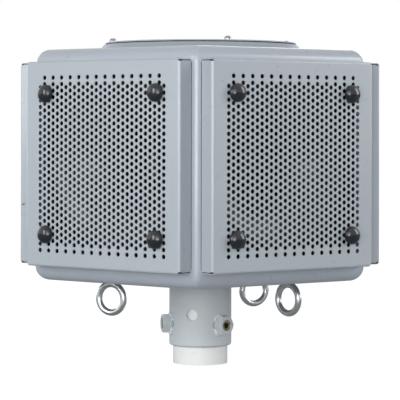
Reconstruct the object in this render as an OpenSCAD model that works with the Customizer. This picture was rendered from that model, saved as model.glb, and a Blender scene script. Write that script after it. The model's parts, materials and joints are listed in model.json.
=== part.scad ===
// Pole-top siren speaker head: a five-sided housing with a perforated grille on each side,
// a horn and driver behind each grille, a screwed round lid on top, and a pole sleeve below.
// Origin at the centre of the pole's lower end, +Z up, -Y towards the first grille.

/* [Housing] */
// Distance from the axis to a flat side of the housing
housing_apothem = 223.5; // [215:0.5:240]
// Height of the housing
housing_h = 368; // [362:1:420]
// Height of the housing's underside above the pole's lower end
housing_z = 140.5; // [135:0.5:160]
// Wall of the housing
housing_wall = 3; // [2:0.5:5]
// Radius of the five upright corners
corner_r = 13; // [9:1:20]
// Radius of the top and bottom edges
edge_r = 18; // [10:1:20]
// Width of the speaker opening in a side
opening_w = 256; // [230:1:262]
// Height of the speaker opening in a side
opening_h = 276; // [250:1:286]
// Corner radius of the speaker opening
opening_corner_r = 12; // [6:1:20]
// Cable hole in the housing's floor
cable_hole_d = 50; // [30:1:60]

/* [Grille] */
// Width of a grille over its side flanges
grille_w = 308; // [302:1:310]
// Height of a grille over its top and bottom flanges
grille_h = 321.5; // [315:0.5:324]
// Height of a grille's lower edge above the housing's underside
grille_lift = 25.5; // [22:0.5:30]
// How far a grille stands out from the housing
grille_depth = 29.5; // [20:0.5:36]
// Sheet thickness of a grille
grille_t = 1.5; // [1:0.1:2]
// Outer radius of a grille's bends
grille_bend_r = 4; // [2.5:0.5:6]
// Radius at the rear corners of a grille's flanges
flange_corner_r = 5; // [3:1:8]
// Diameter of a hole in a grille
hole_d = 7.1; // [5:0.1:8]
// Distance between neighbouring holes
hole_pitch = 10.2; // [9:0.1:10.4]
// Holes in one upright column
hole_rows = 26; // [12:1:26]
// Upright columns of holes
hole_columns = 29; // [11:2:29]

/* [Bumpers] */
// Largest diameter of a rubber bumper
bumper_d = 28; // [20:1:32]
// Height of a rubber bumper
bumper_h = 13; // [11:0.5:16]
// Height of a bumper's widest ring above the grille
bumper_skirt_h = 3.5; // [2:0.5:4]
// Diameter of a bumper where it meets the grille
bumper_foot_d = 24; // [16:1:26]
// Spacing of the bumpers, across and up
bumper_spacing = 220; // [180:1:230]

/* [Horn] */
// Depth of a horn from mouth to throat
horn_depth = 116; // [114:1:118]
// Diameter of a horn's mouth
mouth_d = 250; // [230:1:252]
// Diameter of a horn's throat
throat_d = 50; // [44:1:60]
// Wall of a horn
horn_wall = 3; // [2:0.5:4]
// Gap between a horn's baffle plate and the rounded edges inside the housing
baffle_gap = 0.5; // [0.3:0.1:3]
// Diameter of a driver's front flange
driver_flange_d = 96; // [88:1:98]
// Thickness of a driver's front flange
driver_flange_t = 6; // [4:1:8]
// Diameter of a driver's magnet
driver_magnet_d = 88; // [70:1:90]
// Depth of a driver's magnet
driver_magnet_h = 26; // [20:1:28]
// Length of the phase plug in a horn's throat
plug_h = 32; // [20:1:40]
// Diameter of the phase plug at its foot
plug_d = 34; // [24:1:40]

/* [Lid] */
// Diameter of the access hole under the lid
access_d = 270; // [200:1:280]
// Width of the lid ring at its top, round the access hole
ring_w = 22.5; // [19:0.5:26]
// How much further the lid ring reaches at its base than at its top
ring_flare = 7.5; // [3:0.5:12]
// Height of the lid ring
ring_h = 9; // [6:0.5:14]
// Width of the lid's gasket, round the access hole
gasket_w = 17; // [10:0.5:18]
// Thickness of the lid's gasket
gasket_t = 1.5; // [1:0.5:3]
// How far the lid reaches past its gasket
lid_overhang = 4; // [0:0.5:6]
// Thickness of the lid
lid_t = 3; // [2:0.5:5]

/* [Pole and sleeve] */
// Outer diameter of the pole
pole_d = 88.9; // [85:0.1:89.5]
// Wall of the pole
pole_wall = 5.5; // [3:0.1:8]
// Outer diameter of the sleeve
sleeve_d = 101.6; // [100:0.1:108]
// Wall of the sleeve
sleeve_wall = 5.6; // [4:0.1:5.8]
// Height of the sleeve's lower end above the pole's lower end
sleeve_z = 29.5; // [20:0.5:40]
// Rounding at the sleeve's lower end
sleeve_edge_r = 4; // [1:0.5:4.5]
// Diameter of the sight hole in the sleeve
sight_d = 18.5; // [10:0.5:22]
// Height of the sight hole
sight_z = 82; // [76:1:100]
// Direction of the sight hole round the axis
sight_azimuth = 21.5; // [10:0.5:40]

/* [Set screws] */
// Width across the flats of a welded nut
nut_af = 28.5; // [24:0.5:30]
// Radius from the axis to a nut's outer face
nut_face_r = 64; // [62:0.5:68]
// Height of the nuts
nut_z = 65; // [55:0.5:75]
// Direction of the first nut round the axis
nut_azimuth = 79.7; // [70:0.1:90]
// Diameter of a set screw
screw_d = 18; // [14:0.5:20]
// How far a set screw's outer end lies inside its nut
screw_recess = 2; // [0:0.5:4]
// Width across the flats of a set screw's socket
socket_af = 9.5; // [6:0.5:10]
// Depth of a set screw's socket
socket_depth = 8; // [4:0.5:10]

/* [Eyebolts] */
// Radius from the axis to an eyebolt
eye_circle_r = 150; // [140:1:160]
// Wire diameter of an eye
eye_wire_d = 10.5; // [8:0.5:12]
// Clear diameter inside an eye
eye_clear_d = 35.6; // [30:0.1:40]
// Collar diameter of an eyebolt
collar_d = 24; // [18:1:26]
// Collar height of an eyebolt
collar_h = 7; // [6:0.5:9]
// Shank diameter of an eyebolt
shank_d = 12; // [10:1:14]
// Length of the shank above the housing's underside
shank_h = 24; // [16:1:30]

/* [Hidden] */
$fn = 96;
SIDES = 5;
STEP = 360 / SIDES;
HALF = STEP / 2;
TOUCH = 0.3;
THREAD_GAP = 0.05;
CORNER_PROUD = 0.01;
EDGE_PROUD = 0.03;
NUT_CORNERS = 6;
NUT_CHAMFER = 30;
NUT_FACE = 0.94;
EYE_SEAT = 0.3;
PLUG_TIP = 0.25;

housing_top = housing_z + housing_h;
inner_face = housing_apothem - housing_wall;
grille_face = housing_apothem + grille_depth;
grille_mid_z = housing_z + grille_lift + grille_h / 2;
column_pitch = hole_pitch * cos(30);
bumper_top_r = bumper_h - bumper_skirt_h;
throat_face = inner_face - horn_depth;
baffle_w = 2 * (inner_face - corner_r + housing_wall) * tan(HALF) - 2 * baffle_gap;
baffle_h = housing_h - 2 * edge_r - 2 * baffle_gap;
ring_top_d = access_d + 2 * ring_w;
ring_base_d = ring_top_d + 2 * ring_flare;
gasket_d = access_d + 2 * gasket_w;
lid_d = gasket_d + 2 * lid_overhang;
ring_top = housing_top + ring_h;
gasket_top = ring_top + gasket_t;
pole_h = housing_z;
sleeve_bore_d = sleeve_d - 2 * sleeve_wall;
eye_mean_r = (eye_clear_d + eye_wire_d) / 2;
eye_z = housing_z - collar_h - eye_mean_r - (0.5 - EYE_SEAT) * eye_wire_d;

// Corner directions that carry an eyebolt, and the way each eye faces
EYES = [[324, 8], [108, -11], [180, 66]];

// Places a shape drawn with its outward side along -Y at a direction round the axis
module facing(azimuth) {
    rotate([0, 0, azimuth]) children();
}

// Stands a flat drawing upright, with its face looking along -Y at a distance from the axis
module upright(distance, thickness) {
    translate([0, -distance, 0])
        rotate([90, 0, 0])
            translate([0, 0, -thickness])
                linear_extrude(thickness)
                    children();
}

module rounded_rect(w, h, r) {
    square([w - 2 * r, h], center = true);
    square([w, h - 2 * r], center = true);
    for (x = [-1, 1], y = [-1, 1])
        translate([x * (w / 2 - r), y * (h / 2 - r)])
            circle(r);
}

// Plan of the housing: five flat sides and rounded corners
module rounded_outline(apothem, r) {
    core = apothem - r;
    half_side = core * tan(HALF);
    for (i = [0:SIDES - 1])
        rotate(i * STEP) {
            translate([-half_side, -apothem])
                square([2 * half_side, apothem + core / 4]);
            translate([half_side, -core])
                circle(r + CORNER_PROUD);
        }
}

// Wide slab whose upper and lower front edges are rounded
module edge_trim(reach, height, r) {
    wide = 2 * reach;
    front = reach + EDGE_PROUD;
    low = -EDGE_PROUD;
    high = height + EDGE_PROUD;
    translate([-wide, 0, 0])
        rotate([90, 0, 90])
            linear_extrude(2 * wide)
                mirror([1, 0]) {
                    translate([-wide, low])
                        square([wide + front - r, high - low]);
                    translate([-wide, low + r])
                        square([wide + front, high - low - 2 * r]);
                    for (z = [low + r, high - r])
                        translate([front - r, z])
                            circle(r);
                }
}

// Five-sided body with rounded upright corners and rounded top and bottom edges
module rounded_body(apothem, height, plan_r, r) {
    corner_reach = (apothem - plan_r) / cos(HALF) + plan_r;
    intersection() {
        linear_extrude(height)
            rounded_outline(apothem, plan_r);
        intersection_for (i = [0:SIDES - 1])
            rotate([0, 0, i * STEP])
                edge_trim(apothem, height, r);
        intersection_for (i = [0:SIDES - 1])
            rotate([0, 0, i * STEP + HALF])
                edge_trim(corner_reach, height, r);
    }
}

module speaker_opening() {
    upright(housing_apothem + TOUCH, housing_wall + 2 * TOUCH)
        translate([0, grille_mid_z])
            rounded_rect(opening_w, opening_h, opening_corner_r);
}

module housing() {
    color("#aab2bd")
        difference() {
            translate([0, 0, housing_z])
                rounded_body(housing_apothem, housing_h, corner_r, edge_r);
            translate([0, 0, housing_z + housing_wall])
                rounded_body(inner_face, housing_h - 2 * housing_wall,
                             corner_r - housing_wall, edge_r - housing_wall);
            for (i = [0:SIDES - 1])
                facing(i * STEP)
                    speaker_opening();
            translate([0, 0, housing_top - housing_wall - TOUCH])
                cylinder(d = access_d, h = housing_wall + 2 * TOUCH);
            translate([0, 0, housing_z - TOUCH])
                cylinder(d = cable_hole_d, h = housing_wall + 2 * TOUCH);
            for (eye = EYES)
                facing(eye[0])
                    translate([0, -eye_circle_r, housing_z - TOUCH])
                        cylinder(d = shank_d + 2 * TOUCH, h = housing_wall + 2 * TOUCH);
        }
}

// Staggered holes: every second column lies one and a half pitches higher
module hole_field() {
    shift = 0.75 * hole_pitch;
    for (c = [0:hole_columns - 1], r = [0:hole_rows - 1])
        translate([(c - (hole_columns - 1) / 2) * column_pitch,
                   (r - (hole_rows - 1) / 2) * hole_pitch + (c % 2 == 0 ? -shift : shift)])
            circle(d = hole_d);
}

// Section of one bend and its flange, with the bend's outer corner at the origin
module flange_section() {
    translate([-grille_t, grille_bend_r])
        square([grille_t, grille_depth - grille_bend_r]);
    intersection() {
        translate([-grille_bend_r, 0])
            square(grille_bend_r);
        translate([-grille_bend_r, grille_bend_r])
            difference() {
                circle(grille_bend_r);
                circle(grille_bend_r - grille_t);
            }
    }
}

// Flange of a given length, standing behind a grille's edge at a distance from its middle
module flange(from_middle, length) {
    difference() {
        translate([from_middle, 0, -length / 2])
            linear_extrude(length)
                flange_section();
        for (end = [-1, 1])
            translate([from_middle, grille_depth, end * length / 2])
                rotate([0, -90, 0])
                    flange_corner_cut(end);
    }
}

module flange_corner_cut(end) {
    r = flange_corner_r;
    translate([0, 0, -TOUCH])
        linear_extrude(grille_t + 2 * TOUCH)
            difference() {
                translate([end > 0 ? -r : 0, -r])
                    square(r);
                translate([end > 0 ? -r : r, -r])
                    circle(r);
            }
}

module grille() {
    plate_w = grille_w - 2 * grille_bend_r;
    plate_h = grille_h - 2 * grille_bend_r;
    color("#b4bcc6")
        translate([0, -grille_face, grille_mid_z]) {
            upright(0, grille_t)
                difference() {
                    square([plate_w, plate_h], center = true);
                    hole_field();
                }
            for (turn = [0, 180])
                rotate([0, turn, 0])
                    flange(grille_w / 2, plate_h);
            for (turn = [90, 270])
                rotate([0, turn, 0])
                    flange(grille_h / 2, plate_w);
        }
}

module bumper() {
    rotate_extrude()
        union() {
            polygon([[0, 0], [bumper_foot_d / 2, 0], [bumper_d / 2, bumper_skirt_h],
                     [0, bumper_skirt_h]]);
            intersection() {
                translate([0, bumper_skirt_h])
                    square([bumper_d / 2, bumper_top_r]);
                union() {
                    translate([bumper_d / 2 - bumper_top_r, bumper_skirt_h])
                        circle(bumper_top_r);
                    translate([0, bumper_skirt_h])
                        square([bumper_d / 2 - bumper_top_r, bumper_top_r]);
                }
            }
        }
}

module bumpers() {
    color("#26282b")
        for (x = [-1, 1], z = [-1, 1])
            translate([x * bumper_spacing / 2, -grille_face, grille_mid_z + z * bumper_spacing / 2])
                rotate([90, 0, 0])
                    bumper();
}

// Half section of a horn's flared wall, standing on its throat
module flare_section() {
    throat_r = throat_d / 2;
    rise = mouth_d / 2 - throat_r;
    bend = (horn_depth * horn_depth + rise * rise) / (2 * rise);
    intersection() {
        square([mouth_d / 2 + horn_wall, horn_depth]);
        translate([throat_r + bend, 0])
            difference() {
                circle(bend);
                circle(bend - horn_wall);
            }
    }
}

// Round flared horn that hangs from a baffle plate, which fills the flat inside of one side
module horn() {
    color("#17181a") {
        translate([0, -throat_face, grille_mid_z])
            rotate([90, 0, 0])
                rotate_extrude()
                    flare_section();
        upright(inner_face, horn_wall)
            difference() {
                translate([0, housing_z + housing_h / 2])
                    square([baffle_w, baffle_h], center = true);
                translate([0, grille_mid_z])
                    circle(d = mouth_d);
            }
    }
}

module driver() {
    color("#3a3c40")
        translate([0, -throat_face, grille_mid_z])
            rotate([-90, 0, 0]) {
                cylinder(d = driver_flange_d, h = driver_flange_t);
                translate([0, 0, driver_flange_t])
                    cylinder(d = driver_magnet_d, h = driver_magnet_h);
                translate([0, 0, -plug_h])
                    cylinder(d1 = PLUG_TIP * plug_d, d2 = plug_d, h = plug_h);
            }
}

module lid_ring() {
    color("#b2bac4")
        translate([0, 0, housing_top])
            difference() {
                cylinder(d1 = ring_base_d, d2 = ring_top_d, h = ring_h);
                translate([0, 0, -TOUCH])
                    cylinder(d = access_d, h = ring_h + 2 * TOUCH);
            }
}

module lid_gasket() {
    color("#2b2d30")
        translate([0, 0, ring_top])
            difference() {
                cylinder(d = gasket_d, h = gasket_t);
                translate([0, 0, -TOUCH])
                    cylinder(d = access_d, h = gasket_t + 2 * TOUCH);
            }
}

module lid() {
    color("#bcc4cd")
        translate([0, 0, gasket_top])
            cylinder(d = lid_d, h = lid_t);
}

module pole() {
    color("#f2f2ee")
        difference() {
            cylinder(d = pole_d, h = pole_h);
            translate([0, 0, -TOUCH])
                cylinder(d = pole_d - 2 * pole_wall, h = pole_h + 2 * TOUCH);
        }
}

module pole_sleeve() {
    straight = sleeve_z + sleeve_edge_r;
    color("#a5adb7")
        difference() {
            union() {
                translate([0, 0, straight])
                    cylinder(d = sleeve_d, h = housing_z - straight);
                translate([0, 0, sleeve_z])
                    cylinder(d = sleeve_d - 2 * sleeve_edge_r, h = sleeve_edge_r);
                translate([0, 0, straight])
                    rotate_extrude()
                        translate([sleeve_d / 2 - sleeve_edge_r, 0])
                            circle(sleeve_edge_r);
            }
            translate([0, 0, sleeve_z - TOUCH])
                cylinder(d = sleeve_bore_d, h = housing_z - sleeve_z + 2 * TOUCH);
            facing(sight_azimuth)
                translate([0, 0, sight_z])
                    rotate([90, 0, 0])
                        cylinder(d = sight_d, h = sleeve_d);
            for (i = [0:2])
                facing(nut_azimuth + i * 120)
                    translate([0, 0, nut_z])
                        rotate([90, 0, 0])
                            cylinder(d = screw_d + 2 * THREAD_GAP, h = sleeve_d);
        }
}

module set_screw_nut() {
    across_corners = nut_af / cos(180 / NUT_CORNERS);
    chamfer_r = NUT_FACE * nut_af / 2;
    color("#9aa3ae")
        translate([0, 0, nut_z])
            difference() {
                rotate([90, 0, 0])
                    intersection() {
                        cylinder(d = across_corners, h = nut_face_r, $fn = NUT_CORNERS);
                        cylinder(r1 = chamfer_r + nut_face_r / tan(NUT_CHAMFER), r2 = chamfer_r,
                                 h = nut_face_r);
                    }
                translate([0, 0, -nut_af])
                    cylinder(d = sleeve_d, h = 2 * nut_af);
                rotate([90, 0, 0])
                    cylinder(d = screw_d + 2 * THREAD_GAP, h = nut_face_r + TOUCH);
            }
}

module set_screw() {
    tip = pole_d / 2 + TOUCH;
    head = nut_face_r - screw_recess;
    color("#8b8168")
        translate([0, 0, nut_z])
            rotate([90, 0, 0])
                difference() {
                    translate([0, 0, tip])
                        cylinder(d = screw_d, h = head - tip);
                    translate([0, 0, head - socket_depth])
                        cylinder(d = socket_af / cos(180 / NUT_CORNERS), h = socket_depth + TOUCH,
                                 $fn = NUT_CORNERS);
                }
}

module eyebolt(turn) {
    color("#c9cdd2")
        translate([0, -eye_circle_r, 0]) {
            translate([0, 0, housing_z - collar_h])
                cylinder(d = collar_d, h = collar_h);
            translate([0, 0, housing_z - collar_h])
                cylinder(d = shank_d, h = collar_h + shank_h);
            translate([0, 0, eye_z])
                rotate([0, 0, turn])
                    rotate([90, 0, 0])
                        rotate_extrude()
                            translate([eye_mean_r, 0])
                                circle(d = eye_wire_d);
        }
}

housing();
facing(0 * STEP) grille();  // grille_1
facing(1 * STEP) grille();  // grille_2
facing(2 * STEP) grille();  // grille_3
facing(3 * STEP) grille();  // grille_4
facing(4 * STEP) grille();  // grille_5
facing(0 * STEP) bumpers();  // bumpers_1
facing(1 * STEP) bumpers();  // bumpers_2
facing(2 * STEP) bumpers();  // bumpers_3
facing(3 * STEP) bumpers();  // bumpers_4
facing(4 * STEP) bumpers();  // bumpers_5
facing(0 * STEP) horn();  // horn_1
facing(1 * STEP) horn();  // horn_2
facing(2 * STEP) horn();  // horn_3
facing(3 * STEP) horn();  // horn_4
facing(4 * STEP) horn();  // horn_5
facing(0 * STEP) driver();  // driver_1
facing(1 * STEP) driver();  // driver_2
facing(2 * STEP) driver();  // driver_3
facing(3 * STEP) driver();  // driver_4
facing(4 * STEP) driver();  // driver_5
lid_ring();
lid_gasket();
lid();
pole();
pole_sleeve();
facing(nut_azimuth) set_screw_nut();  // set_screw_nut_1
facing(nut_azimuth + 120) set_screw_nut();  // set_screw_nut_2
facing(nut_azimuth + 240) set_screw_nut();  // set_screw_nut_3
facing(nut_azimuth) set_screw();  // set_screw_1
facing(nut_azimuth + 120) set_screw();  // set_screw_2
facing(nut_azimuth + 240) set_screw();  // set_screw_3
facing(EYES[0][0]) eyebolt(EYES[0][1] - EYES[0][0]);  // eyebolt_1
facing(EYES[1][0]) eyebolt(EYES[1][1] - EYES[1][0]);  // eyebolt_2
facing(EYES[2][0]) eyebolt(EYES[2][1] - EYES[2][0]);  // eyebolt_3
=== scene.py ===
import json
import math

import bpy
import bmesh
from mathutils import Matrix, Vector, noise


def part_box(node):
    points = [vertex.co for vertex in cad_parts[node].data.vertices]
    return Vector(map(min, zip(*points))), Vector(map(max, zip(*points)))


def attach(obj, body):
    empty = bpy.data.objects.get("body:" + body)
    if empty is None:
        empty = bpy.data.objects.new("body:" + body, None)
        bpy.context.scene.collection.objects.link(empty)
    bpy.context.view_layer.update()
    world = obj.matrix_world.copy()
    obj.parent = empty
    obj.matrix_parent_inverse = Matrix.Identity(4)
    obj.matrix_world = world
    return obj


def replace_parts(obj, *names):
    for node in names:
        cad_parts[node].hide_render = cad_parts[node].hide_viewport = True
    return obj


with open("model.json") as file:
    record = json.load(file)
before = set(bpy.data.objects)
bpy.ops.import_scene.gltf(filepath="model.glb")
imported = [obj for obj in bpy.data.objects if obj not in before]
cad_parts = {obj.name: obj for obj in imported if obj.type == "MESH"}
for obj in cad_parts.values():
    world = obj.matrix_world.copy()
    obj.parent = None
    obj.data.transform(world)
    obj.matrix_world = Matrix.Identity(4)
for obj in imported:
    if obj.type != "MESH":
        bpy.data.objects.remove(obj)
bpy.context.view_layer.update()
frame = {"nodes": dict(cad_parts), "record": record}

# Lengths are in mm and become metres by MM; those of the camera, the lights and the floor are metres
MM = 0.001
SIDES = 5
SIDE_ANGLE = 72
SIGNS = (-1, 1)
UP = Vector((0, 0, 1))


def azimuth_dir(degrees):
    """The level direction at an azimuth: 0 is -Y and 90 is +X."""
    a = math.radians(degrees)
    return Vector((math.sin(a), -math.cos(a), 0.0))


def side_dir(degrees):
    """The level direction square to azimuth_dir, to the right as seen from outside."""
    a = math.radians(degrees)
    return Vector((math.cos(a), math.sin(a), 0.0))


# Camera: solved from the grille's hole lattice, in the photograph's 400 pixel frame
IMAGE_PX = 400.0
SENSOR_MM = 36.0
CAMERA_AZIMUTH = 37.34
CAMERA_DISTANCE = 3.101
CAMERA_HEIGHT = 0.389
CAMERA_ROLL = 0.10
FOCAL_PX = 1894.5
PRINCIPAL_PX = (200.65, 124.54)
CLIP_END = 100.0

camera_data = bpy.data.cameras.new("camera")
camera = bpy.data.objects.new("camera", camera_data)
bpy.context.scene.collection.objects.link(camera)
camera_data.sensor_width = SENSOR_MM
camera_data.lens = FOCAL_PX / IMAGE_PX * SENSOR_MM
camera_data.shift_x = (IMAGE_PX / 2 - PRINCIPAL_PX[0]) / IMAGE_PX
camera_data.shift_y = (PRINCIPAL_PX[1] - IMAGE_PX / 2) / IMAGE_PX
camera_data.clip_end = CLIP_END
camera_place = azimuth_dir(CAMERA_AZIMUTH) * CAMERA_DISTANCE + Vector((0, 0, CAMERA_HEIGHT))
camera_turn = (Matrix.Rotation(math.radians(CAMERA_AZIMUTH), 4, "Z")
               @ Matrix.Rotation(math.radians(90), 4, "X")
               @ Matrix.Rotation(math.radians(CAMERA_ROLL), 4, "Z"))
camera.matrix_world = Matrix.Translation(camera_place) @ camera_turn
bpy.context.scene.camera = camera

# Materials
NOISE_LOW, NOISE_HIGH = 0.3, 0.7
CLOUD_SCALE, SPECK_SCALE, FINE_SCALE = 7.0, 420.0, 60.0
SPECK_DARK, SPECK_LIGHT, SPECK_SHARE = (0.95, 0.95, 0.955), (1.0, 1.0, 1.0), 0.25
COAT_ROUGHNESS = 0.12
PEEL_DEPTH = 0.0002
PLATING_LIGHT = 0.62
SCRATCH_RATIO, SCRATCH_DEPTH = 6, 0.0001
DUST_SCALE, DUST_LOW, DUST_HIGH = 120.0, 0.4, 0.75
GRAIN_SCALE, GRAIN_STRENGTH, GRAIN_DEPTH = 1400.0, 0.03, 0.0001


def new_material(name):
    material = bpy.data.materials.new(name)
    material.use_nodes = True
    tree = material.node_tree
    return material, tree, tree.nodes["Principled BSDF"]


def object_coordinates(tree):
    return tree.nodes.new("ShaderNodeTexCoord").outputs["Object"]


def noise_value(tree, vector, scale, detail=3.0, roughness=0.5):
    node = tree.nodes.new("ShaderNodeTexNoise")
    node.inputs["Scale"].default_value = scale
    node.inputs["Detail"].default_value = detail
    node.inputs["Roughness"].default_value = roughness
    tree.links.new(vector, node.inputs["Vector"])
    return node.outputs["Fac"]


def ramp(tree, value, stops):
    """Colours a value by (position, colour) stops."""
    node = tree.nodes.new("ShaderNodeValToRGB")
    elements = node.color_ramp.elements
    for element, (position, colour) in zip(elements, stops):
        element.position = position
        element.color = (*colour, 1.0)
    tree.links.new(value, node.inputs["Fac"])
    return node.outputs["Color"]


def map_range(tree, value, low, high):
    """Spreads the usual range of a noise over low to high."""
    node = tree.nodes.new("ShaderNodeMapRange")
    node.inputs["From Min"].default_value = NOISE_LOW
    node.inputs["From Max"].default_value = NOISE_HIGH
    node.inputs["To Min"].default_value = low
    node.inputs["To Max"].default_value = high
    tree.links.new(value, node.inputs["Value"])
    return node.outputs["Result"]


def add_bump(tree, shader, height, strength, distance):
    node = tree.nodes.new("ShaderNodeBump")
    node.inputs["Strength"].default_value = strength
    node.inputs["Distance"].default_value = distance
    tree.links.new(height, node.inputs["Height"])
    tree.links.new(node.outputs["Normal"], shader.inputs["Normal"])


def painted(name, base, spread=0.018, rough=(0.27, 0.32), coat=0.3, specular=0.5,
            peel=0.05, peel_scale=900.0):
    """Sprayed paint: cloudy colour, fine specks, orange peel, and a thin clear gloss."""
    material, tree, shader = new_material(name)
    vector = object_coordinates(tree)
    cloud = noise_value(tree, vector, CLOUD_SCALE, 5.0, 0.6)
    dark = tuple(c * (1 - spread) for c in base)
    light = tuple(min(1.0, c * (1 + spread)) for c in base)
    clouded = ramp(tree, cloud, [(NOISE_LOW, dark), (NOISE_HIGH, light)])
    specks = ramp(tree, noise_value(tree, vector, SPECK_SCALE, 3.0, 0.7),
                  [(NOISE_LOW, SPECK_DARK), (NOISE_HIGH, SPECK_LIGHT)])
    blend = tree.nodes.new("ShaderNodeMix")
    blend.data_type = "RGBA"
    blend.blend_type = "MULTIPLY"
    blend.inputs["Factor"].default_value = SPECK_SHARE
    tree.links.new(clouded, blend.inputs["A"])
    tree.links.new(specks, blend.inputs["B"])
    tree.links.new(blend.outputs["Result"], shader.inputs["Base Color"])
    fine = noise_value(tree, vector, FINE_SCALE, 4.0, 0.6)
    tree.links.new(map_range(tree, fine, *rough), shader.inputs["Roughness"])
    shader.inputs["Specular IOR Level"].default_value = specular
    shader.inputs["Coat Weight"].default_value = coat
    shader.inputs["Coat Roughness"].default_value = COAT_ROUGHNESS
    add_bump(tree, shader, noise_value(tree, vector, peel_scale, 2.0, 0.5), peel, PEEL_DEPTH)
    return material


def metal(name, base, rough=(0.16, 0.28), scale=220.0, bump=0.15, dark=0.75):
    """Plated or bare steel: mottled tone and fine scratches."""
    material, tree, shader = new_material(name)
    shader.inputs["Metallic"].default_value = 1.0
    vector = object_coordinates(tree)
    cloud = noise_value(tree, vector, scale, 5.0, 0.65)
    shade = tuple(c * dark for c in base)
    mottled = ramp(tree, cloud, [(NOISE_LOW, shade), (PLATING_LIGHT, base)])
    tree.links.new(mottled, shader.inputs["Base Color"])
    tree.links.new(map_range(tree, cloud, *rough), shader.inputs["Roughness"])
    add_bump(tree, shader, noise_value(tree, vector, scale * SCRATCH_RATIO), bump, SCRATCH_DEPTH)
    return material


def moulded(name, base, rough, specular, dust_amount):
    """Black moulded rubber or plastic with a trace of dust."""
    material, tree, shader = new_material(name)
    vector = object_coordinates(tree)
    dust = noise_value(tree, vector, DUST_SCALE, 5.0, 0.7)
    pale = tuple(c + dust_amount for c in base)
    tree.links.new(ramp(tree, dust, [(DUST_LOW, base), (DUST_HIGH, pale)]), shader.inputs["Base Color"])
    tree.links.new(map_range(tree, dust, *rough), shader.inputs["Roughness"])
    shader.inputs["Specular IOR Level"].default_value = specular
    add_bump(tree, shader, noise_value(tree, vector, GRAIN_SCALE, 2.0), GRAIN_STRENGTH, GRAIN_DEPTH)
    return material


PAINT = {
    "housing": painted("housing_paint", (0.425, 0.472, 0.535)),
    "grille": painted("grille_paint", (0.42, 0.468, 0.512), spread=0.02),
    "lid": painted("lid_paint", (0.43, 0.475, 0.53), rough=(0.46, 0.54), coat=0.0, specular=0.3),
    "cone": painted("cone_paint", (0.38, 0.425, 0.48), rough=(0.46, 0.54), coat=0.0, specular=0.3),
    "sleeve": painted("sleeve_paint", (0.56, 0.605, 0.635), spread=0.07, rough=(0.42, 0.6),
                      peel=0.3, peel_scale=500.0),
    "pole": painted("pole_paint", (0.90, 0.90, 0.90), spread=0.02, rough=(0.24, 0.36), coat=0.25),
    "rubber": moulded("bumper_rubber", (0.006, 0.009, 0.014), (0.17, 0.21), 0.55, 0.003),
    # Dark rubber of the lid's gasket, also used as painted shade for the grille trays' black frames and the
    # nuts' crevices
    "gasket": moulded("gasket_rubber_and_painted_shade", (0.03, 0.03, 0.033), (0.5, 0.7), 0.2, 0.012),
    "horn": moulded("horn_plastic", (0.008, 0.009, 0.010), (0.16, 0.26), 0.3, 0.004),
    "driver": painted("driver_paint", (0.03, 0.032, 0.035), spread=0.1, rough=(0.35, 0.5)),
    "set_screw": metal("yellow_zinc", (0.52, 0.46, 0.32), rough=(0.08, 0.2), scale=230.0, bump=0.6,
                       dark=0.16),
    "eyebolt": metal("bright_zinc", (0.58, 0.60, 0.61), rough=(0.26, 0.36), scale=90.0, bump=0.04,
                     dark=0.86),
    # Weld beads: the sleeve's paint made lighter, a painted highlight standing in for the beads' glints
    "weld": painted("weld_paint_painted_highlight", (0.66, 0.70, 0.73), spread=0.12, rough=(0.12, 0.24), coat=0.5,
                    specular=0.6, peel=0.5, peel_scale=300.0),
    "steel": metal("stainless", (0.34, 0.32, 0.31)),
}

SLOTS = {entry["node"]: entry["material_slot"] for entry in frame["record"]["subparts"]}
for node_name, node_object in frame["nodes"].items():
    paint = PAINT[SLOTS[node_name]]
    if not node_object.material_slots:
        node_object.data.materials.append(paint)
    for material_slot in node_object.material_slots:
        material_slot.material = paint


# Mesh helpers
def smooth(mesh, angle):
    for polygon in mesh.polygons:
        polygon.use_smooth = True
    mesh.set_sharp_from_angle(angle=math.radians(angle))


def add_piece(name, builder, paint, angle=35.0):
    """Makes a piece that rides on root from the builder's mesh; edges sharper than angle stay sharp."""
    bmesh.ops.recalc_face_normals(builder, faces=builder.faces)
    mesh = bpy.data.meshes.new(name)
    builder.to_mesh(mesh)
    builder.free()
    smooth(mesh, angle)
    piece = bpy.data.objects.new(name, mesh)
    bpy.context.scene.collection.objects.link(piece)
    mesh.materials.append(PAINT[paint])
    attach(piece, "root")
    return piece


def frame_at(origin, outward, up=UP):
    """Matrix whose Z looks outward and whose Y is as near to up as it can be."""
    z = outward.normalized()
    x = up.cross(z).normalized()
    y = z.cross(x)
    return Matrix.Translation(origin) @ Matrix((x, y, z)).transposed().to_4x4()


def on_side(azimuth, outward, across, z):
    """A point by the side at an azimuth, in metres from distances in mm."""
    return (azimuth_dir(azimuth) * outward + side_dir(azimuth) * across + Vector((0, 0, z))) * MM


def join_rings(builder, low, high):
    for k in range(len(low)):
        n = (k + 1) % len(low)
        builder.faces.new((low[k], low[n], high[n], high[k]))


def lathe(builder, rows, place, segments=48):
    """Turns (radius, height) rows, in mm, round the Z of place; a radius of 0 is a single point."""
    rings = []
    for radius, height in rows:
        if radius == 0:
            rings.append([builder.verts.new(place @ Vector((0, 0, height * MM)))])
            continue
        ring = []
        for k in range(segments):
            a = 2 * math.pi * k / segments
            point = Vector((radius * math.cos(a) * MM, radius * math.sin(a) * MM, height * MM))
            ring.append(builder.verts.new(place @ point))
        rings.append(ring)
    for low, high in zip(rings, rings[1:]):
        if len(low) > 1 and len(high) > 1:
            join_rings(builder, low, high)
            continue
        for k in range(segments):
            n = (k + 1) % segments
            if len(high) > 1:
                builder.faces.new((low[0], high[n], high[k]))
            elif len(low) > 1:
                builder.faces.new((low[k], low[n], high[0]))


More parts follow.
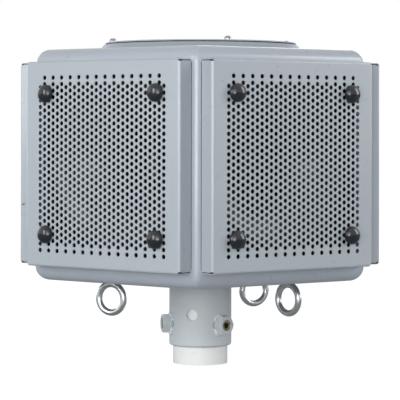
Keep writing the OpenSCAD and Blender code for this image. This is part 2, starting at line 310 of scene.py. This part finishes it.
# Lid: a conical ring, a dark gap, and a round plate
LID_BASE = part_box("lid_ring")[0].z / MM
LID_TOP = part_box("lid")[1].z / MM
ACCESS_RADIUS = 135.0
CONE_FOOT_R, CONE_TOP_R, CONE_H = 166.0, 157.6, 10.0
GAP_R, GAP_H = 152.0, 1.5
LID_R, LID_H = 156.0, LID_TOP - LID_BASE - CONE_H - GAP_H
LID_SEGMENTS = 160
MERGE_M = 1e-6

# Piece, replaced node, paint, slot, height of the foot, and (radius, height) rows
TURNED = [
    ("lid_cone", "lid_ring", "cone", "housing", LID_BASE, [
        (ACCESS_RADIUS, 0), (CONE_FOOT_R, 0), (CONE_FOOT_R, 0.5), (CONE_FOOT_R - 0.3, 0.9),
        (CONE_TOP_R + 1.1, CONE_H - 0.5), (CONE_TOP_R + 0.6, CONE_H - 0.1), (CONE_TOP_R, CONE_H),
        (ACCESS_RADIUS, CONE_H), (ACCESS_RADIUS, 0)]),
    ("lid_seal", "lid_gasket", "gasket", "gasket", LID_BASE + CONE_H, [
        (ACCESS_RADIUS, 0), (GAP_R, 0), (GAP_R, GAP_H), (ACCESS_RADIUS, GAP_H), (ACCESS_RADIUS, 0)]),
    ("lid_plate", "lid", "lid", "lid", LID_BASE + CONE_H + GAP_H, [
        (0, 0), (LID_R - 0.5, 0), (LID_R, 0.4), (LID_R, 1.3), (LID_R - 0.3, 1.75),
        (LID_R - 0.9, LID_H), (0, LID_H)]),
]
for piece_name, node_name, paint, slot, base, rows in TURNED:
    builder = bmesh.new()
    lathe(builder, rows, Matrix.Translation((0, 0, base * MM)), LID_SEGMENTS)
    bmesh.ops.remove_doubles(builder, verts=builder.verts, dist=MERGE_M)
    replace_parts(add_piece(piece_name, builder, paint, 30.0), node_name)

# Screw heads: a dome with a socket, sunk a little into what it sits on
DOME_STEPS, DOME_START, DOME_TURN = 10, 14, 72
DOME_SHARE, SKIRT_SHARE = 0.86, 0.12
SOCKET_FLOOR, SOCKET_RIM = 0.45, 0.985
HEAD_SUNK = 0.3


def button_head(builder, place, radius, height, socket):
    rows = [(0, height * SOCKET_FLOOR), (socket, height * SOCKET_FLOOR), (socket, height * SOCKET_RIM)]
    for k in range(1, DOME_STEPS + 1):
        a = math.radians(DOME_START + DOME_TURN * k / DOME_STEPS)
        rows.append((radius * math.sin(a), height * math.cos(a) * DOME_SHARE + height * (1 - DOME_SHARE)))
    rows += [(radius, height * SKIRT_SHARE), (radius, -HEAD_SUNK), (0, -HEAD_SUNK)]
    lathe(builder, rows, place)


# Lid screws: radius, height and socket radius of the head, and their circle
LID_SCREW_HEAD = (6.7, 6.2, 2.4)
LID_SCREW_CIRCLE = 148.0
LID_SCREW_AZIMUTHS = (324.0, 54.0, 144.0, 234.0)
for index, azimuth in enumerate(LID_SCREW_AZIMUTHS):
    builder = bmesh.new()
    origin = on_side(azimuth, LID_SCREW_CIRCLE, 0, LID_TOP)
    button_head(builder, frame_at(origin, UP, side_dir(azimuth)), *LID_SCREW_HEAD)
    add_piece("lid_screw_%d" % (index + 1), builder, "steel")

# Housing: a thin shell with one rounding on its upright corners and one on its top and bottom edges
HOUSING_APOTHEM = 224.6
EDGE_ROUND = 23.0
CORNER_ROUND = 14.0
HOUSING_WALL = 6.0
GUARD = 0.8
RIM_SHARE = 0.996
ROUND_STEPS = 14
CORNER_STEPS = 20
OPENING_SIZE = (290.0, 304.0)
OPENING_ROUND = 12.0
CABLE_RADIUS = 25.0
RIM_MERGE = 0.02
SLIVER = 0.001
HOUSING_ANGLE = 30.0
HOUSING_LOW, HOUSING_HIGH = (corner.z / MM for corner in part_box("housing"))
GRILLE_MID_Z = (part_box("grille_1")[0].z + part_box("grille_1")[1].z) / 2 / MM


def plan_ring(builder, inset, z):
    """One level of the housing: an arc at each corner, with a guard point at each of its ends."""
    round_r = CORNER_ROUND * (1 - inset / EDGE_ROUND)
    core = HOUSING_APOTHEM - inset - round_r
    ring = []
    for side in range(SIDES):
        start, middle, end = (SIDE_ANGLE * (side + share) for share in (0, 0.5, 1))
        corner = azimuth_dir(middle) * (core / math.cos(math.radians(SIDE_ANGLE / 2)))
        points = [corner + azimuth_dir(start) * round_r - side_dir(start) * GUARD]
        for k in range(CORNER_STEPS + 1):
            points.append(corner + azimuth_dir(start + float(SIDE_ANGLE) * k / CORNER_STEPS) * round_r)
        points.append(corner + azimuth_dir(end) * round_r + side_dir(end) * GUARD)
        ring += [builder.verts.new(Vector((p.x, p.y, z)) * MM) for p in points]
    return ring


def circle_loop(builder, radius, z, segments=96):
    points = [azimuth_dir(360.0 * k / segments) * radius for k in range(segments)]
    return [builder.verts.new(Vector((p.x, p.y, z)) * MM) for p in points]


def rounded_loop(builder, place, width, height, radius, steps=8):
    loop = []
    for cx, cy, start in ((1, 1, 0), (-1, 1, 90), (-1, -1, 180), (1, -1, 270)):
        for k in range(steps + 1):
            a = math.radians(start + 90.0 * k / steps)
            x = cx * (width / 2 - radius) + radius * math.cos(a)
            y = cy * (height / 2 - radius) + radius * math.sin(a)
            loop.append(builder.verts.new(place @ (Vector((x, y, 0)) * MM)))
    return loop


def loop_edges(builder, loop):
    return [builder.edges.get(pair) or builder.edges.new(pair) for pair in zip(loop, loop[1:] + loop[:1])]


def fill_between(builder, loops):
    edges = [edge for loop in loops for edge in loop_edges(builder, loop)]
    bmesh.ops.triangle_fill(builder, use_beauty=True, use_dissolve=False, edges=edges)


def housing_surface():
    """The housing's outer surface, with its speaker openings, its access hole and its cable hole."""
    builder = bmesh.new()
    low, high, r = HOUSING_LOW, HOUSING_HIGH, EDGE_ROUND
    turns = [math.radians(90.0 * k / ROUND_STEPS) for k in range(1, ROUND_STEPS + 1)]
    ends = [(r * (1 - math.cos(a)), r * (1 - math.sin(a))) for a in turns]
    levels = [(inset, low + drop) for inset, drop in reversed(ends)]
    levels += [(0.0, low + r), (0.0, low + r + GUARD), (0.0, high - r - GUARD), (0.0, high - r)]
    levels += [(inset, high - drop) for inset, drop in ends]
    rings = [plan_ring(builder, inset, z) for inset, z in levels]
    flat = ROUND_STEPS + 1
    per_corner = CORNER_STEPS + 3
    for index, (lower, upper) in enumerate(zip(rings, rings[1:])):
        for k in range(len(lower)):
            n = (k + 1) % len(lower)
            if index == flat and n % per_corner == 0:
                continue
            builder.faces.new((lower[k], lower[n], upper[n], upper[k]))
    lower, upper = rings[flat], rings[flat + 1]
    for side in range(1, SIDES + 1):
        k = side * per_corner - 1
        n = (k + 1) % (SIDES * per_corner)
        azimuth = SIDE_ANGLE * side
        place = frame_at(on_side(azimuth, HOUSING_APOTHEM, 0, GRILLE_MID_Z), azimuth_dir(azimuth))
        opening = rounded_loop(builder, place, *OPENING_SIZE, OPENING_ROUND)
        fill_between(builder, [[lower[k], lower[n], upper[n], upper[k]], opening])
    for ring, radius, z in ((rings[0], CABLE_RADIUS, low), (rings[-1], ACCESS_RADIUS, high)):
        rim = [builder.verts.new((v.co.x * RIM_SHARE, v.co.y * RIM_SHARE, v.co.z)) for v in ring]
        join_rings(builder, ring, rim)
        bmesh.ops.remove_doubles(builder, verts=ring + rim, dist=RIM_MERGE * MM)
        rim = [v for v in rim if v.is_valid]
        fill_between(builder, [rim, circle_loop(builder, radius, z)])
    bmesh.ops.dissolve_degenerate(builder, edges=builder.edges, dist=SLIVER * MM)
    return builder


def apply_modifiers(piece):
    """Swaps the piece's mesh for the one its modifiers make."""
    graph = bpy.context.evaluated_depsgraph_get()
    made = bpy.data.meshes.new_from_object(piece.evaluated_get(graph), depsgraph=graph)
    piece.modifiers.clear()
    piece.data = made


housing_shell = add_piece("housing_shell", housing_surface(), "housing", HOUSING_ANGLE)
wall = housing_shell.modifiers.new("wall", "SOLIDIFY")
wall.thickness = HOUSING_WALL * MM
wall.offset = -1.0
bpy.context.view_layer.update()
apply_modifiers(housing_shell)
smooth(housing_shell.data, HOUSING_ANGLE)
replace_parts(housing_shell, "housing")

# Grille trays: a tray's own frame has x across, y up and z outward from its face
GRILLE_HALF_W, GRILLE_HALF_H = 154.0, 160.75
GRILLE_FACE = 253.0
BOX_QUADS = ((0, 1, 3, 2), (4, 6, 7, 5), (0, 4, 5, 1), (2, 3, 7, 6), (0, 2, 6, 4), (1, 5, 7, 3))


def tray_frame(index):
    azimuth = SIDE_ANGLE * index
    return frame_at(on_side(azimuth, GRILLE_FACE, 0, GRILLE_MID_Z), azimuth_dir(azimuth))


def plate(builder, place, xs, ys, zs):
    """A box in the frame of place, between two values a direction, in mm."""
    corners = [builder.verts.new(place @ (Vector((x, y, z)) * MM))
               for x in sorted(xs) for y in sorted(ys) for z in sorted(zs)]
    for quad in BOX_QUADS:
        builder.faces.new([corners[i] for i in quad])


# Grille corners: the ends of each tray's flanges, which leave a relief at the bend and a fine slit
CORNER_START, CORNER_END = 6.8, 29.3
END_INNER, END_OUTER = 1.4, 0.06
SIDE_END_FROM, SIDE_END_GAP = 151.0, 2.9
TOP_END_FROM, TOP_END_GAP = 144.0, 1.9
for index in range(SIDES):
    builder = bmesh.new()
    place = tray_frame(index)
    depths = (-CORNER_END, -CORNER_START)
    for sx in SIGNS:
        for sy in SIGNS:
            plate(builder, place, (sx * (GRILLE_HALF_W - END_INNER), sx * (GRILLE_HALF_W - END_OUTER)),
                  (sy * SIDE_END_FROM, sy * (GRILLE_HALF_H - SIDE_END_GAP)), depths)
            plate(builder, place, (sx * TOP_END_FROM, sx * (GRILLE_HALF_W - TOP_END_GAP)),
                  (sy * (GRILLE_HALF_H - END_INNER), sy * (GRILLE_HALF_H - END_OUTER)), depths)
    add_piece("grille_corners_%d" % (index + 1), builder, "grille")

# Painted shade: a black frame inside each tray's flanges, behind the corner reliefs and slits, and a strip
# that shows as a dark line beside each side flange, put where the tray's gaps lie in shade
SHADE_FRAME_HALF_W, SHADE_FRAME_HALF_H = 152.3, 159.1
SHADE_FRAME_WIDTH = 3.0
SHADE_FRAME_DEPTHS = (-CORNER_END, -3.0)
SHADE_STRIP_INNER, SHADE_STRIP_PROUD = 152.0, 0.35
SHADE_STRIP_HALF_H = 155.5
SHADE_STRIP_DEPTHS = (-30.5, -27.75)
for index in range(SIDES):
    builder = bmesh.new()
    place = tray_frame(index)
    inner = SHADE_FRAME_HALF_W - SHADE_FRAME_WIDTH
    for sign in SIGNS:
        plate(builder, place, (sign * SHADE_FRAME_HALF_W, sign * inner), (-SHADE_FRAME_HALF_H, SHADE_FRAME_HALF_H), SHADE_FRAME_DEPTHS)
        plate(builder, place, (-inner, inner), (sign * SHADE_FRAME_HALF_H, sign * (SHADE_FRAME_HALF_H - SHADE_FRAME_WIDTH)),
              SHADE_FRAME_DEPTHS)
        plate(builder, place, (sign * SHADE_STRIP_INNER, sign * (GRILLE_HALF_W + SHADE_STRIP_PROUD)),
              (-SHADE_STRIP_HALF_H, SHADE_STRIP_HALF_H), SHADE_STRIP_DEPTHS)
    # These black frames and strips are painted shade, not a real part
    add_piece("grille_painted_shade_%d" % (index + 1), builder, "gasket")

# Bumpers: glossy black rubber domes over a narrower foot
BUMPER_SPACING = 110.0
BUMPER_FOOT_R, BUMPER_R, BUMPER_SKIRT, BUMPER_TOP = 12.0, 14.3, 3.2, 13.0
BUMPER_SUNK = 0.2
BUMPER_FULLNESS = 0.86
BUMPER_STEPS = 16
BUMPER_SEGMENTS = 56
BUMPER_ROWS = [(0, -BUMPER_SUNK), (BUMPER_FOOT_R, -BUMPER_SUNK), (BUMPER_FOOT_R + 0.3, 0.5),
               (BUMPER_R - 0.5, 2.3)]
for step in range(BUMPER_STEPS + 1):
    a = math.radians(90.0 * (BUMPER_STEPS - step) / BUMPER_STEPS)
    BUMPER_ROWS.append((BUMPER_R * math.sin(a) ** BUMPER_FULLNESS,
                        BUMPER_SKIRT + (BUMPER_TOP - BUMPER_SKIRT) * math.cos(a)))
for index in range(SIDES):
    builder = bmesh.new()
    azimuth = SIDE_ANGLE * index
    for sx in SIGNS:
        for sy in SIGNS:
            origin = on_side(azimuth, GRILLE_FACE, sx * BUMPER_SPACING, GRILLE_MID_Z + sy * BUMPER_SPACING)
            lathe(builder, BUMPER_ROWS, frame_at(origin, azimuth_dir(azimuth)), BUMPER_SEGMENTS)
    domes = add_piece("bumper_domes_%d" % (index + 1), builder, "rubber", 50.0)
    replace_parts(domes, "bumpers_%d" % (index + 1))

# Flange screw: one low round head on the right-hand flange of the fifth grille
FLANGE_SCREW_HEAD = (2.6, 1.5, 0.9)
FLANGE_SCREW_Z = 262.0
FLANGE_SCREW_APOTHEM = 247.0
FLANGE_SCREW_AZIMUTH = SIDE_ANGLE * 4
origin = on_side(FLANGE_SCREW_AZIMUTH, FLANGE_SCREW_APOTHEM, GRILLE_HALF_W, FLANGE_SCREW_Z)
builder = bmesh.new()
button_head(builder, frame_at(origin, side_dir(FLANGE_SCREW_AZIMUTH)), *FLANGE_SCREW_HEAD)
add_piece("flange_screw", builder, "steel")

# Welds: rippled beads on the sleeve round the foot of each set screw nut, and a fine dark tube round each
# nut's foot that is painted shade in the crevice
SLEEVE_RADIUS = 50.8
NUT_Z = 65.0
NUT_AZIMUTHS = (79.7, 199.7, 319.7)
NUT_CORNER = 28.5 / math.sqrt(3)
BEAD_MIDDLES = ((120, 240), (120, 300), (60, 300))
BEAD_SPAN = 76.0
BEAD_RADIUS = 2.7
BEAD_STEPS = 60
BEAD_SIDES = 12
BEAD_SQUASH = 1.2
BEAD_GAP, BEAD_WANDER = 1.0, 2.0
BEAD_LIFT, BEAD_LIFT_LUMP = 0.5, 0.8
BEAD_LUMP, BEAD_RIPPLE, BEAD_RIPPLES = 0.35, 0.08, 9
BEAD_END = 0.02
NOISE_LENGTH, NOISE_BEAD, NOISE_NUT = 5.0, 3.0, 7.0
LUMP_RATIO, LUMP_OFFSET = 2.6, Vector((0, 0, 40.0))
CREVICE_SHADE_RADIUS = 0.55
CREVICE_SHADE_SIDES = 6
CREVICE_SHADE_LIFT = 0.15
WELD_ANGLE = 60.0


def on_sleeve(azimuth, across, up, out):
    """A point, in mm, by the sleeve's surface: across and up from a nut's middle, and out from the sleeve."""
    turn = azimuth + math.degrees(across / SLEEVE_RADIUS)
    return azimuth_dir(turn) * (SLEEVE_RADIUS + out) + Vector((0, 0, NUT_Z + up))


def hexagon_point(share, reach):
    """A point on a flat-topped hexagon's outline, share of the way round."""
    position = (share % 1.0) * 6
    k = int(position)
    a, b = math.radians(60 * k), math.radians(60 * (k + 1))
    t = position - k
    x = (1 - t) * math.cos(a) + t * math.cos(b)
    y = (1 - t) * math.sin(a) + t * math.sin(b)
    return reach * x, reach * y


def tube(builder, centres, radii, sides, squash=1.0):
    """Rings round a row of centres on the sleeve, with a flat end at each end."""
    rings = []
    for k, (centre, radius) in enumerate(zip(centres, radii)):
        along = (centres[min(k + 1, len(centres) - 1)] - centres[max(k - 1, 0)]).normalized()
        out = Vector((centre.x, centre.y, 0)).normalized()
        aside = along.cross(out).normalized()
        out = aside.cross(along).normalized()
        ring = []
        for j in range(sides):
            a = 2 * math.pi * j / sides
            spoke = aside * math.cos(a) * squash + out * math.sin(a)
            ring.append(builder.verts.new((centre + spoke * radius) * MM))
        rings.append(ring)
    for ring, following in zip(rings, rings[1:]):
        join_rings(builder, ring, following)
    builder.faces.new(rings[0])
    builder.faces.new(rings[-1][::-1])


def bead_line(index, number, middle):
    """Centres and radii along one bead; index and number pick its part of the noise."""
    centres, radii = [], []
    for k in range(BEAD_STEPS + 1):
        share = k / BEAD_STEPS
        seed = Vector((share * NOISE_LENGTH, NOISE_BEAD * number, NOISE_NUT * index))
        wander = noise.noise(seed)
        lump = noise.noise(seed * LUMP_RATIO + LUMP_OFFSET)
        turn = (middle + BEAD_SPAN * (share - 0.5)) / 360.0
        x, y = hexagon_point(turn, NUT_CORNER + BEAD_GAP + BEAD_WANDER * wander)
        centres.append(on_sleeve(NUT_AZIMUTHS[index], x, y, BEAD_LIFT + BEAD_LIFT_LUMP * lump))
        swell = math.sin(math.pi * min(max(share, BEAD_END), 1 - BEAD_END)) ** 0.5
        ripple = BEAD_RIPPLE * math.sin(2 * math.pi * BEAD_RIPPLES * share)
        radii.append(BEAD_RADIUS * swell * (1 + BEAD_LUMP * lump + ripple))
    return centres, radii


for index, azimuth in enumerate(NUT_AZIMUTHS):
    builder = bmesh.new()
    for number, middle in enumerate(BEAD_MIDDLES[index]):
        tube(builder, *bead_line(index, number, middle), BEAD_SIDES, BEAD_SQUASH)
    add_piece("weld_bead_%d" % (index + 1), builder, "weld", WELD_ANGLE)
    # A thin dark tube round the nut's foot: painted shade in the crevice between nut and sleeve
    builder = bmesh.new()
    centres = []
    for k in range(BEAD_STEPS + 1):
        x, y = hexagon_point(k / BEAD_STEPS, NUT_CORNER + CREVICE_SHADE_LIFT)
        centres.append(on_sleeve(azimuth, x, y, CREVICE_SHADE_LIFT))
    tube(builder, centres, [CREVICE_SHADE_RADIUS] * len(centres), CREVICE_SHADE_SIDES)
    add_piece("nut_painted_crevice_shade_%d" % (index + 1), builder, "gasket", WELD_ANGLE)

# Lights: name, azimuth, elevation, distance in metres, size in metres, power in watts. A large soft key
# and a low one by the camera, one at each side, a strip to the left, two behind and a weak one above.
LIGHTS = [
    ("key", 29.0, 8.0, 3.0, (2.6, 2.4), 42.0),
    ("strip", -15.0, 14.0, 3.2, (0.8, 1.6), 32.0),
    ("right", 124.0, 20.0, 3.0, (0.9, 2.0), 37.0),
    ("left", -52.0, 12.0, 3.0, (1.3, 2.2), 5.0),
    ("low", 35.0, 1.0, 3.0, (1.6, 0.5), 19.0),
    ("back_right", 198.0, 6.0, 3.0, (2.0, 2.2), 32.0),
    ("back_left", 256.0, 6.0, 3.0, (2.0, 2.2), 34.0),
    ("top", 217.0, 72.0, 2.6, (1.6, 1.6), 3.0),
]
LIGHT_AIM = Vector((0, 0, 0.33))
for light_name, azimuth, elevation, distance, size, power in LIGHTS:
    light_data = bpy.data.lights.new(light_name, "AREA")
    light_data.shape = "RECTANGLE"
    light_data.size, light_data.size_y = size
    light_data.energy = power
    light = bpy.data.objects.new(light_name, light_data)
    bpy.context.scene.collection.objects.link(light)
    e = math.radians(elevation)
    position = LIGHT_AIM + (azimuth_dir(azimuth) * math.cos(e) + Vector((0, 0, math.sin(e)))) * distance
    light.matrix_world = frame_at(position, position - LIGHT_AIM)


# World and floor
def math_node(tree, operation, first, second):
    """Each operand is an output to link or a plain number."""
    node = tree.nodes.new("ShaderNodeMath")
    node.operation = operation
    for socket, operand in zip(node.inputs, (first, second)):
        if isinstance(operand, float):
            socket.default_value = operand
        else:
            tree.links.new(operand, socket)
    return node.outputs[0]


def show_mix(tree, share, first, second, output_type):
    """Makes the tree show first, and second in its place by share."""
    mix = tree.nodes.new("ShaderNodeMixShader")
    output = tree.nodes.new(output_type)
    tree.links.new(share, mix.inputs["Fac"])
    tree.links.new(first, mix.inputs[1])
    tree.links.new(second, mix.inputs[2])
    tree.links.new(mix.outputs[0], output.inputs["Surface"])


def background(tree, strength):
    node = tree.nodes.new("ShaderNodeBackground")
    node.inputs["Color"].default_value = (1, 1, 1, 1)
    node.inputs["Strength"].default_value = strength
    return node.outputs[0]


# World: white to the camera, in reflections and through glass, and a weak white light otherwise
SOFT_WORLD, WHITE_WORLD = 0.10, 1.0
world = bpy.data.worlds.new("studio")
bpy.context.scene.world = world
world.use_nodes = True
tree = world.node_tree
tree.nodes.clear()
path = tree.nodes.new("ShaderNodeLightPath").outputs
seen = math_node(tree, "MAXIMUM", path["Is Camera Ray"], path["Is Transmission Ray"])
seen = math_node(tree, "MAXIMUM", seen, path["Is Glossy Ray"])
show_mix(tree, seen, background(tree, SOFT_WORLD), background(tree, WHITE_WORLD), "ShaderNodeOutputWorld")

# Floor: a grey that glows white to the camera, so that the object's shadow stays only faintly in it
FLOOR_REACH = 30.0
FLOOR_GREY = (0.5, 0.5, 0.5, 1)
FLOOR_GLOW, FLOOR_GLOW_SHARE = 1.17, 0.86
floor_mesh = bpy.data.meshes.new("floor")
floor_corners = [(x * FLOOR_REACH, y * FLOOR_REACH, 0) for x, y in ((-1, -1), (1, -1), (1, 1), (-1, 1))]
floor_mesh.from_pydata(floor_corners, [], [(0, 1, 2, 3)])
floor = bpy.data.objects.new("floor", floor_mesh)
bpy.context.scene.collection.objects.link(floor)
floor_material = bpy.data.materials.new("floor")
floor_material.use_nodes = True
tree = floor_material.node_tree
tree.nodes.clear()
path = tree.nodes.new("ShaderNodeLightPath").outputs
diffuse = tree.nodes.new("ShaderNodeBsdfDiffuse")
diffuse.inputs["Color"].default_value = FLOOR_GREY
glow = tree.nodes.new("ShaderNodeEmission")
glow.inputs["Strength"].default_value = FLOOR_GLOW
show_mix(tree, math_node(tree, "MULTIPLY", path["Is Camera Ray"], FLOOR_GLOW_SHARE),
         diffuse.outputs[0], glow.outputs[0], "ShaderNodeOutputMaterial")
floor_mesh.materials.append(floor_material)

bpy.context.scene.view_settings.view_transform = "Standard"
